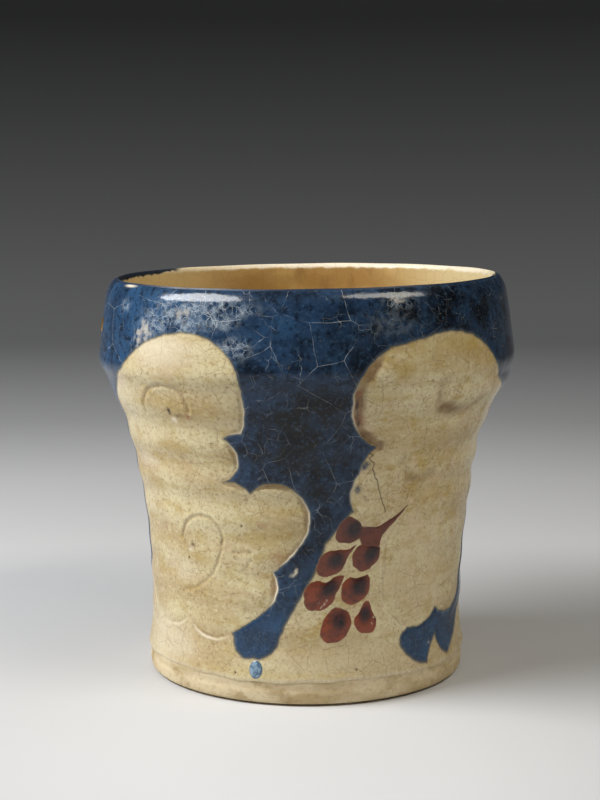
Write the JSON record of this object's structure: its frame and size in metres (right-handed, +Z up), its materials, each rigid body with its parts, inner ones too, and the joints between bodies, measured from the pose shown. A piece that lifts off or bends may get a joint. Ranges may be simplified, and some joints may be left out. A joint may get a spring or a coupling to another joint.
{
  "type": "vase",
  "caption": "Hand-thrown raku vase with a flaring wall, a blue-glazed rim band, carved cream leaf panels and grape bunches, standing on a turned foot.",
  "frame": {"origin": "centre of the foot's standing ring, on the surface that the vase stands on", "axes": "+Z up along the axis of the body, -Y towards the pictured front"},
  "size_m": [0.156, 0.156, 0.15],
  "materials": {
    "clay": "bare low-fired earthenware, matt and slightly gritty",
    "clear_glaze": "clear crackled glaze over cream clay, stained ochre",
    "inside_glaze": "clear crackled glaze, stained deep ochre",
    "blue_glaze": "glossy deep blue glaze with a fine pale crackle",
    "iron_slip": "iron-red slip under glaze",
    "dark_slip": "dark smudged slip under glaze",
    "gold_lacquer": "gold powder on lacquer, satin"
  },
  "bodies": {
    "root": {"clay_body": "clay", "inside_glaze_coat": "inside_glaze", "blue_glaze_coat": "blue_glaze", "ground_glaze_coat": "clear_glaze", "leaf_front_left": "clear_glaze", "leaf_front_right": "clear_glaze", "leaf_back_left": "clear_glaze", "leaf_back_right": "clear_glaze", "grape_front_1": "iron_slip", "grape_front_2": "iron_slip", "grape_front_3": "iron_slip", "grape_front_4": "iron_slip", "grape_front_5": "iron_slip", "grape_front_6": "iron_slip", "grape_front_7": "iron_slip", "grape_back_1": "iron_slip", "grape_back_2": "iron_slip", "grape_back_3": "iron_slip", "grape_back_4": "iron_slip", "grape_back_5": "iron_slip", "grape_back_6": "iron_slip", "grape_back_7": "iron_slip", "grape_spot_front_1": "dark_slip", "grape_spot_front_2": "dark_slip", "grape_spot_front_3": "dark_slip", "grape_spot_front_4": "dark_slip", "grape_spot_front_5": "dark_slip", "grape_spot_front_6": "dark_slip", "grape_spot_front_7": "dark_slip", "grape_spot_back_1": "dark_slip", "grape_spot_back_2": "dark_slip", "grape_spot_back_3": "dark_slip", "grape_spot_back_4": "dark_slip", "grape_spot_back_5": "dark_slip", "grape_spot_back_6": "dark_slip", "grape_spot_back_7": "dark_slip", "stem_front": "iron_slip", "stem_back": "iron_slip", "blue_drop": "blue_glaze", "gold_mend": "gold_lacquer"}
  },
  "joints": []
}
